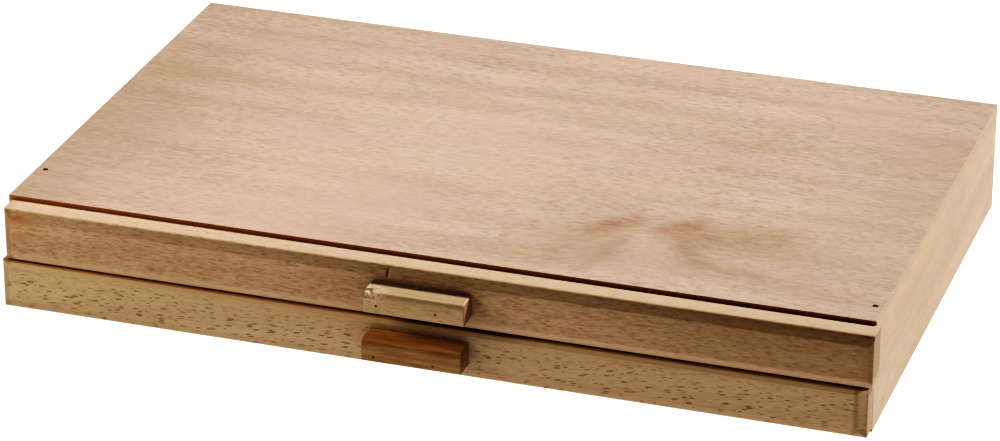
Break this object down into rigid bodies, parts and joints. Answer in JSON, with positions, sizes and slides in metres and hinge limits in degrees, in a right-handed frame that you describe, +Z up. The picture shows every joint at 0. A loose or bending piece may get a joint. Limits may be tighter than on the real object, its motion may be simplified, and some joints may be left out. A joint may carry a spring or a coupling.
{
  "type": "art supply box",
  "caption": "Flat wooden box for pastels and other art supplies, with shallow drawers one over the other, each with a moulded front, a block pull and long compartments.",
  "frame": {"origin": "centre of the case's footprint, on the face it stands on", "axes": "+X to the right along the drawer fronts, +Y to the back, +Z up; the drawers open towards -Y"},
  "size_m": [0.402, 0.2638, 0.053],
  "materials": {
    "top_plywood": "fine sanded pale veneer",
    "case_beech": "sanded, waxed",
    "plywood": "sanded",
    "upper_front_beech": "sanded, waxed",
    "lower_front_beech": "sanded, waxed",
    "drawer_beech": "sanded",
    "brad_steel": "dull"
  },
  "bodies": {
    "case": {"top_panel": "top_plywood", "bottom_panel": "plywood", "left_side": "case_beech", "right_side": "case_beech", "back_panel": "case_beech", "left_runner": "case_beech", "right_runner": "case_beech", "top_brads": "brad_steel", "bottom_brads": "brad_steel", "runner_brads": "brad_steel"},
    "upper_drawer": {"upper_front": "upper_front_beech", "upper_left_side": "drawer_beech", "upper_right_side": "drawer_beech", "upper_back": "drawer_beech", "upper_bottom": "plywood", "upper_front_divider": "drawer_beech", "upper_rear_divider": "drawer_beech", "upper_pull": "upper_front_beech", "upper_pull_pins": "brad_steel", "upper_corner_brads": "brad_steel"},
    "lower_drawer": {"lower_front": "lower_front_beech", "lower_left_side": "drawer_beech", "lower_right_side": "drawer_beech", "lower_back": "drawer_beech", "lower_bottom": "plywood", "lower_front_divider": "drawer_beech", "lower_rear_divider": "drawer_beech", "lower_pull": "lower_front_beech", "lower_pull_pins": "brad_steel", "lower_corner_brads": "brad_steel"}
  },
  "joints": [
    {"name": "upper_drawer_slide", "type": "slide", "parent": "case", "child": "upper_drawer", "axis": [0, -1, 0], "range_m": [0, 0.2]},
    {"name": "lower_drawer_slide", "type": "slide", "parent": "case", "child": "lower_drawer", "axis": [0, -1, 0], "range_m": [0, 0.2]}
  ]
}
